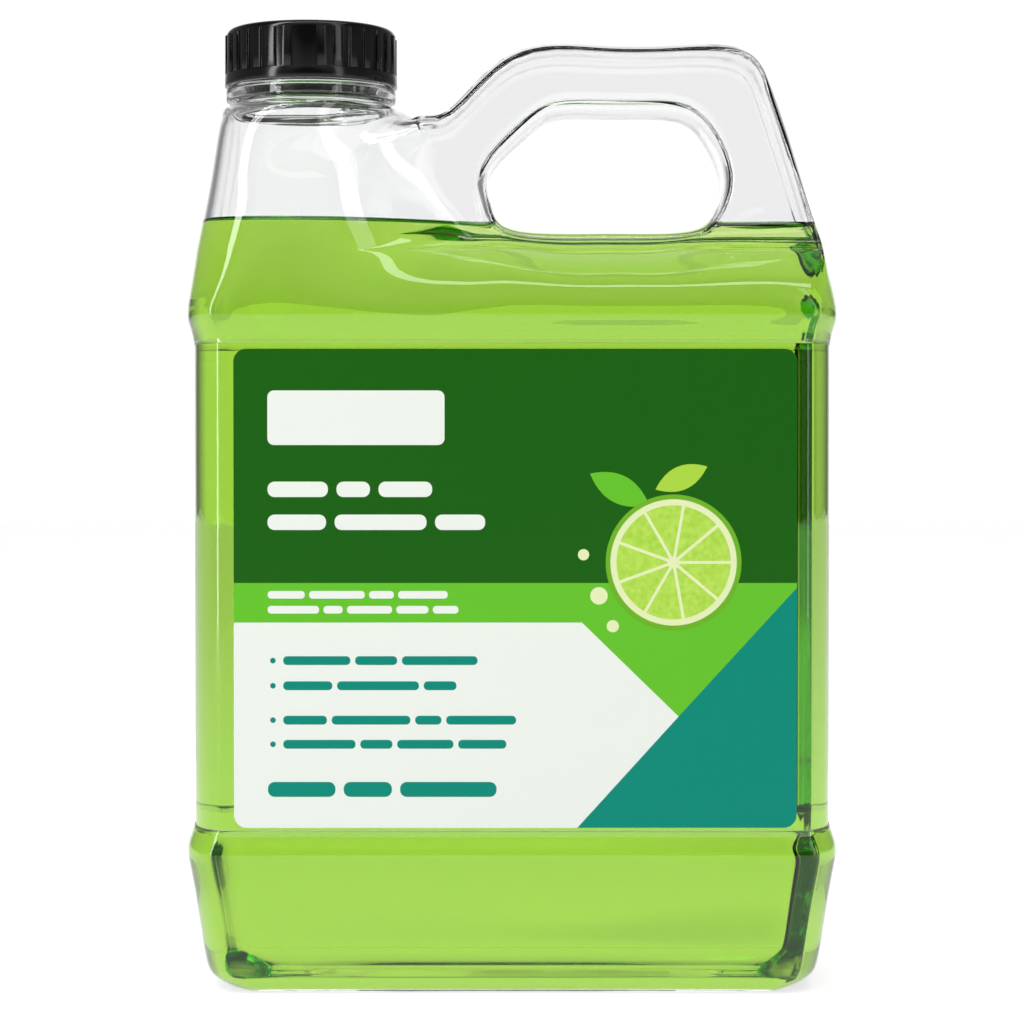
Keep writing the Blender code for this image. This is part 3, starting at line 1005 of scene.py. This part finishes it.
marks.append(disc(SLICE_X, SLICE_HEIGHT, SLICE_RADIUS, SLICE_INK, 2, points=96))
marks.append(leaf(SLICE_X - 10.5, SLICE_HEIGHT + 14.2, 13.0, math.radians(28), INKS["bright_green"], 1))
marks.append(leaf(SLICE_X + 1.5, SLICE_HEIGHT + 16.4, 11.0, math.radians(-24), INKS["lime"], 1))
for step, (across, down, size) in enumerate(((-14.5, -6.5, 1.7), (-17.5, 1.5, 1.1), (-11.8, -12.4, 1.2))):
    marks.append(disc(SLICE_X + across, SLICE_HEIGHT + down, size, INKS["pith"], 1, points=32))
front_print = join(marks, "front_print")
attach(front_print, "filled_bottle")
print("front print", triangles(front_print), "triangles")

# %% [markdown]
# ## The back film
#
# The back is plain: a dark green head, a white field and a few rows of marks where directions
# would be printed.

# %% Back film and its marks
back_film = film_blank("back_film", "back_label")
BACK_LOW, BACK_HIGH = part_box("back_label")
BACK_LEFT = BACK_LOW[0] / MM + 5.0
BACK_RIGHT = BACK_HIGH[0] / MM - 5.0
BACK_SPLIT = BACK_HIGH[2] / MM - 16.0
cut_film(back_film, (0.0, BACK_SPLIT), (1.0, BACK_SPLIT))
ink_faces(back_film, lambda x, height: "dark_green" if height > BACK_SPLIT else "white")
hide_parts("back_label")
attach(back_film, "filled_bottle")

back_marks = row_of_marks(BACK, BACK_LEFT + 12.0, BACK_RIGHT, BACK_SPLIT + 8.0, 3.2, (7, 10, 6), "white")
BACK_WORDS = ((6, 9, 4, 8), (8, 3, 7, 10), (5, 9, 6, 4), (10, 6, 8, 5))
for line in range(9):
    middle = BACK_SPLIT - 8.0 - line * 5.8
    left = BACK_LEFT + (22.0 if line % 4 == 3 else 0.0)
    back_marks += row_of_marks(BACK, left, BACK_RIGHT, middle, 1.6, BACK_WORDS[line % 4], "teal")
back_print = join(back_marks, "back_print")
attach(back_print, "filled_bottle")
print("back print", triangles(back_print), "triangles")

# %% [markdown]
# ## The screw cap
#
# The cap is one moulding: a cup with a smooth band at its mouth and grip ribs above it, in four
# groups of seven with a plain gap between groups. It starts as a cylinder. Its side is cut into a
# band and a ribbed part, the band and the ribs are extruded outwards, the top edge is rounded and
# the underside is inset and pushed up to hollow it.

# %% Cap sizes
CAP_LOW, CAP_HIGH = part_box("screw_cap")
CAP_BOTTOM = CAP_LOW[2] / MM
CAP_TOP = CAP_HIGH[2] / MM
CAP_RADIUS = 17.5
RIB_DEPTH = 0.42
CAP_ROOT = CAP_RADIUS - RIB_DEPTH
CAP_BORE = 16.25
CAP_BAND = 2.3
CAP_ROOF = 1.2
CAP_EDGE = 1.3
SIDES_IN_PITCH = 10
CAP_SIDES = 32 * SIDES_IN_PITCH
RIB_SIDES = 5
AXIS = Vector((NECK_X * MM, 0.0, 0.0))


def cap_angle(centre):
    return math.atan2(centre.y - AXIS.y, centre.x - AXIS.x) % math.tau


def in_rib(centre):
    side = int(cap_angle(centre) / math.tau * CAP_SIDES)
    pitch, step = divmod(side + SIDES_IN_PITCH // 2, SIDES_IN_PITCH)
    in_group = pitch % 8 != 0
    start = (SIDES_IN_PITCH - RIB_SIDES) // 2
    return in_group and start <= step < start + RIB_SIDES


# %% Model the cap
bpy.ops.mesh.primitive_cylinder_add(
    vertices=CAP_SIDES, radius=CAP_ROOT * MM, depth=(CAP_TOP - CAP_BOTTOM) * MM,
    location=(NECK_X * MM, 0.0, (CAP_TOP + CAP_BOTTOM) / 2 * MM)
)
cap = bpy.context.object
cap.name = "ribbed_cap"
settle(cap)
for height in (CAP_BOTTOM + CAP_BAND, CAP_TOP - CAP_EDGE):
    make_active(cap)
    bpy.ops.object.mode_set(mode="EDIT")
    bpy.ops.mesh.select_all(action="SELECT")
    bpy.ops.mesh.bisect(plane_co=(0, 0, height * MM), plane_no=(0, 0, 1))
    leave_edit()


def on_side(normal):
    return abs(normal.z) < 0.1


def band_face(centre, normal):
    return on_side(normal) and centre.z < (CAP_BOTTOM + CAP_BAND) * MM


def rib_face(centre, normal):
    above_band = centre.z > (CAP_BOTTOM + CAP_BAND) * MM
    below_edge = centre.z < (CAP_TOP - CAP_EDGE) * MM
    return on_side(normal) and above_band and below_edge and in_rib(centre)


for chosen in (band_face, rib_face):
    select_in_edit(cap, "FACE", chosen)
    bpy.ops.mesh.extrude_region_shrink_fatten(
        TRANSFORM_OT_shrink_fatten={"value": RIB_DEPTH * MM}
    )
    leave_edit()
print("cap radius", round(max((v.co - AXIS).xy.length for v in cap.data.vertices) / MM, 3))

# %% Hollow the cap and round its edges
select_in_edit(
    cap, "FACE", lambda c, n: n.z < -0.9 and (c - AXIS).xy.length < MM and c.z < (CAP_BOTTOM + 0.1) * MM
)
bpy.ops.mesh.inset(thickness=(CAP_ROOT - CAP_BORE) * MM)
bpy.ops.mesh.extrude_region_move(
    TRANSFORM_OT_translate={"value": (0, 0, (CAP_TOP - CAP_ROOF - CAP_BOTTOM) * MM)}
)
leave_edit()


def top_rim(centre, _along):
    radius = (centre - AXIS).xy.length
    return centre.z > (CAP_TOP - 0.01) * MM and radius > (CAP_ROOT - 0.5) * MM


select_in_edit(cap, "EDGE", top_rim)
bpy.ops.mesh.bevel(offset=CAP_EDGE * 0.92 * MM, segments=6, affect="EDGES")
leave_edit()
edges = cap.modifiers.new("soft_edges", "BEVEL")
edges.width = 0.1 * MM
edges.segments = 2
edges.limit_method = "ANGLE"
edges.angle_limit = math.radians(40)
apply_all(cap)
print("cap", triangles(cap), "triangles")

# %% The cap's own thread, half a pitch above the neck's
cap_thread = thread_ridge(
    "cap_thread", start=184.0, root=CAP_BORE + 0.1, crest=15.72, half_width=0.85, turns=1.25
)
cap = join([cap, cap_thread], "ribbed_cap")
smooth(cap, 35)
print("cap with thread", triangles(cap), "triangles")

# %% [markdown]
# ## Glossy black moulding
#
# The cap is black polypropylene from a polished mould. It is not quite a mirror: a fine grain
# breaks the highlight, and its roughness drifts a little from place to place.

# %% Black plastic on the cap
black_plastic = principled("black_plastic", (0.0015, 0.0015, 0.0017), 0.22, IOR=1.49)
vary_roughness(black_plastic, object_noise(black_plastic, 160.0, 4.0), 0.11, 0.2)
relief(black_plastic, object_noise(black_plastic, 2600.0, 2.0), 0.00001, 0.35)
cap.data.materials.clear()
cap.data.materials.append(black_plastic)
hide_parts("screw_cap")
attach(cap, "cap")
print("cap finish", black_plastic.name)

# %% [markdown]
# ## The sealing disc
#
# The disc in the cap's roof is pressed from a foamed sheet. Its edge is softly rounded, and the
# bottle's rim has left a shallow ring in its face.

# %% Model the disc
LINER_LOW, LINER_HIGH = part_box("cap_liner")
LINER_RADIUS = (LINER_HIGH[0] - LINER_LOW[0]) / 2 / MM
bpy.ops.mesh.primitive_cylinder_add(
    vertices=96, radius=LINER_RADIUS * MM, depth=LINER_HIGH[2] - LINER_LOW[2],
    location=(NECK_X * MM, 0.0, (LINER_HIGH[2] + LINER_LOW[2]) / 2)
)
liner = bpy.context.object
liner.name = "seal_disc"
settle(liner)
select_in_edit(liner, "FACE", lambda centre, normal: normal.z < -0.9)
bpy.ops.mesh.inset(thickness=0.9 * MM)
bpy.ops.mesh.inset(thickness=1.3 * MM, depth=-0.12 * MM)
bpy.ops.mesh.inset(thickness=0.3 * MM, depth=0.12 * MM)
leave_edit()
edges = liner.modifiers.new("soft_edges", "BEVEL")
edges.width = 0.12 * MM
edges.segments = 2
edges.limit_method = "ANGLE"
apply_all(liner)
smooth(liner)
seal_foam = principled("seal_foam", (0.03, 0.03, 0.032), 0.7)
relief(seal_foam, object_noise(seal_foam, 1800.0, 3.0), 0.00004, 0.6)
liner.data.materials.clear()
liner.data.materials.append(seal_foam)
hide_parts("cap_liner")
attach(liner, "liner")
print("seal disc", triangles(liner), "triangles")

# %% [markdown]
# ## A plain studio
#
# Clear things are lit by what they show of the room. The floor and the wall behind are white. The
# room is dark at the sides and in front and dimmer above, which draws the bottle's edges as darker
# lines. What the camera sees of the room itself is plain white. One tall soft light stands on each
# side in front, and a long narrow one hangs overhead.

# %% Floor
FLOOR_GLOW = 0.48
FLOOR_GLOW_SEEN = 0.66
bpy.ops.mesh.primitive_plane_add(size=8.0, location=(0, 0, CAD_BOX[0][2]))
floor = bpy.context.object
floor.name = "studio_floor"
floor_white = principled("floor_white", (0.93, 0.93, 0.93), 0.6, Specular_IOR_Level=0.15)
vary_roughness(floor_white, object_noise(floor_white, 30.0), 0.55, 0.65)
floor_shader = floor_white.node_tree.nodes["Principled BSDF"]
floor_shader.inputs["Emission Color"].default_value = (1, 1, 1, 1)
floor_light = add_node(floor_white, "ShaderNodeMapRange")
floor_light.inputs["To Min"].default_value = FLOOR_GLOW
floor_light.inputs["To Max"].default_value = FLOOR_GLOW_SEEN
floor_rays = add_node(floor_white, "ShaderNodeLightPath")
floor_links = floor_white.node_tree.links
floor_links.new(floor_rays.outputs["Is Camera Ray"], floor_light.inputs["Value"])
floor_links.new(floor_light.outputs["Result"], floor_shader.inputs["Emission Strength"])
floor.data.materials.append(floor_white)
print("floor", floor_white.name)

# %% Lights


def soft_light(name, azimuth, distance, height, width, tall, power):
    """A rectangular light that faces the pack's middle; azimuth 0 is straight in front."""
    turn = math.radians(azimuth)
    place = Vector((math.sin(turn) * distance, -math.cos(turn) * distance, height))
    data = bpy.data.lights.new(name, "AREA")
    data.shape = "RECTANGLE"
    data.size = width
    data.size_y = tall
    data.energy = power
    light = bpy.data.objects.new(name, data)
    light.location = place
    aim = Vector((0.0, 0.0, 0.1)) - place
    light.rotation_euler = aim.to_track_quat("-Z", "Y").to_euler()
    bpy.context.scene.collection.objects.link(light)
    return light


soft_light("left_softbox", -50.0, 0.95, 0.60, 0.16, 1.6, 6.2)
soft_light("right_softbox", 40.0, 1.10, 0.60, 0.20, 1.6, 2.0)
soft_light("overhead", 12.0, 0.38, 1.10, 1.1, 0.14, 2.2)
print("lights", len(bpy.data.lights))

# %% Room
WALL_WHITE = 1.03
SIDE_GREY = 0.22
FRONT_SHARE = 0.05
CEILING_SHARE = 0.40
world = bpy.data.worlds.new("studio_room")
bpy.context.scene.world = world
world.use_nodes = True
room = world.node_tree


def room_math(operation, first, second):
    node = room.nodes.new("ShaderNodeMath")
    node.operation = operation
    for socket, source in zip(node.inputs, (first, second)):
        if isinstance(source, float):
            socket.default_value = source
        else:
            room.links.new(source, socket)
    return node.outputs["Value"]


def room_ramp(source, start, end, low, high):
    node = room.nodes.new("ShaderNodeMapRange")
    node.inputs["From Min"].default_value = start
    node.inputs["From Max"].default_value = end
    node.inputs["To Min"].default_value = low
    node.inputs["To Max"].default_value = high
    room.links.new(source, node.inputs["Value"])
    return node.outputs["Result"]


direction = room.nodes.new("ShaderNodeTexCoord")
axes = room.nodes.new("ShaderNodeSeparateXYZ")
rays = room.nodes.new("ShaderNodeLightPath")
room.links.new(direction.outputs["Generated"], axes.inputs["Vector"])
sideways = room_math("ABSOLUTE", axes.outputs["X"], 0.0)
walls = room_ramp(sideways, 0.28, 0.52, WALL_WHITE, SIDE_GREY)
front = room_ramp(axes.outputs["Y"], -0.95, -0.78, FRONT_SHARE, 1.0)
ceiling = room_ramp(axes.outputs["Z"], 0.30, 0.70, 1.0, CEILING_SHARE)
light = room_math("MULTIPLY", room_math("MULTIPLY", walls, front), ceiling)
strength = room_math("MAXIMUM", light, rays.outputs["Is Camera Ray"])
background = room.nodes["Background"]
background.inputs["Color"].default_value = (1, 1, 1, 1)
room.links.new(strength, background.inputs["Strength"])
bpy.context.scene.view_settings.view_transform = "Standard"
bpy.context.scene.cycles.max_bounces = 32
bpy.context.scene.cycles.transmission_bounces = 32
bpy.context.scene.cycles.glossy_bounces = 12
print("room", len(room.nodes), "nodes")

# %% Camera
EYE_HEIGHT = 0.1045
EYE_DISTANCE = 0.572
LENS = 98.44
DOWNWARD_TILT = 1.064
camera_data = bpy.data.cameras.new("camera")
camera_data.lens = LENS
camera_data.sensor_width = 36.0
camera = bpy.data.objects.new("camera", camera_data)
camera.location = (0.0, -EYE_DISTANCE, EYE_HEIGHT)
camera.rotation_euler = (math.radians(90.0 - DOWNWARD_TILT), 0.0, 0.0)
bpy.context.scene.collection.objects.link(camera)
bpy.context.scene.camera = camera
print("camera at", tuple(camera.location))
